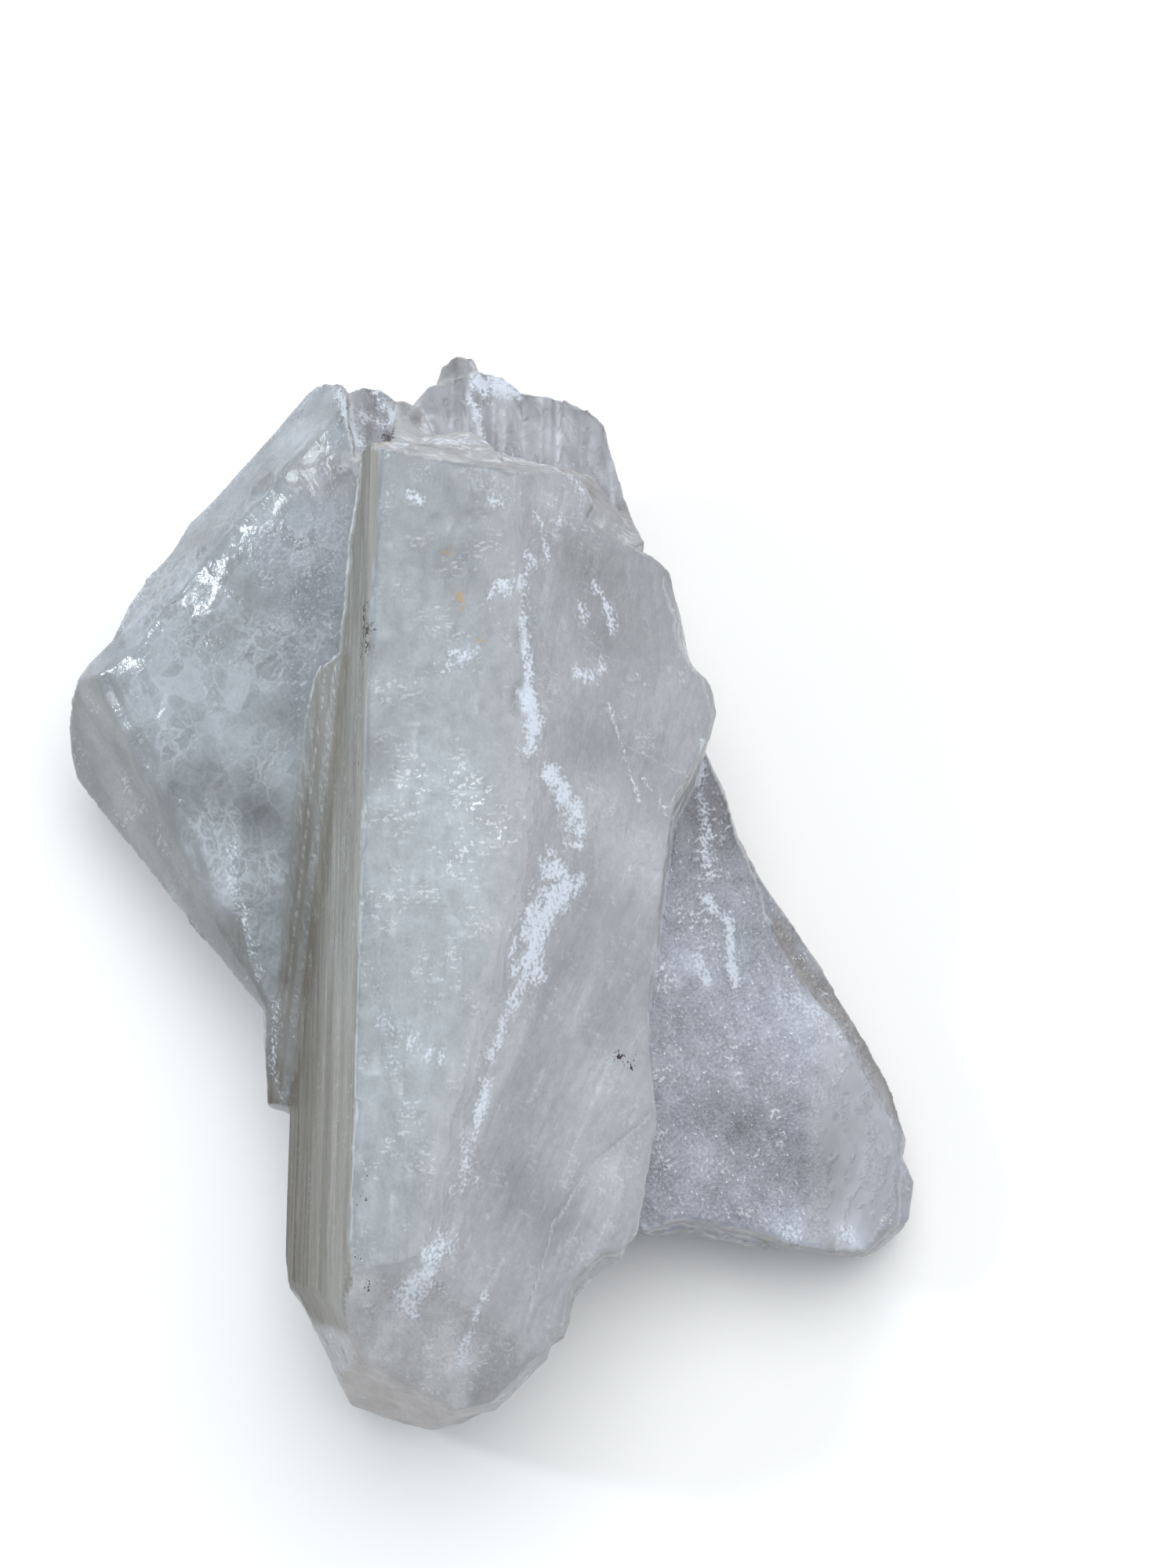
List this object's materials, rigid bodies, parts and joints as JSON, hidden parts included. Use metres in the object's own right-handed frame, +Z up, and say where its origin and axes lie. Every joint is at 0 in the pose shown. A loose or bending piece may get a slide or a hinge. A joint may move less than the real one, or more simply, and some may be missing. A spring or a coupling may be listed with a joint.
{
  "type": "selenite crystal",
  "caption": "Cluster of cloudy, see-through selenite blades grown together from a broken root: a thick fluted main blade, a bevelled plate and thinner blades, lying on its flat back.",
  "frame": {"origin": "under the middle of the specimen's box, on the table that it lies on", "axes": "+Z up from the flat back of the main blade, +Y along the main blade from its tip towards the broken root, +X towards the thinner blade"},
  "size_m": [0.1186, 0.1476, 0.0474],
  "materials": {
    "selenite": "cloudy and partly see-through, satin with small glints"
  },
  "bodies": {
    "root": {"crystal_cluster": "selenite"}
  },
  "joints": []
}
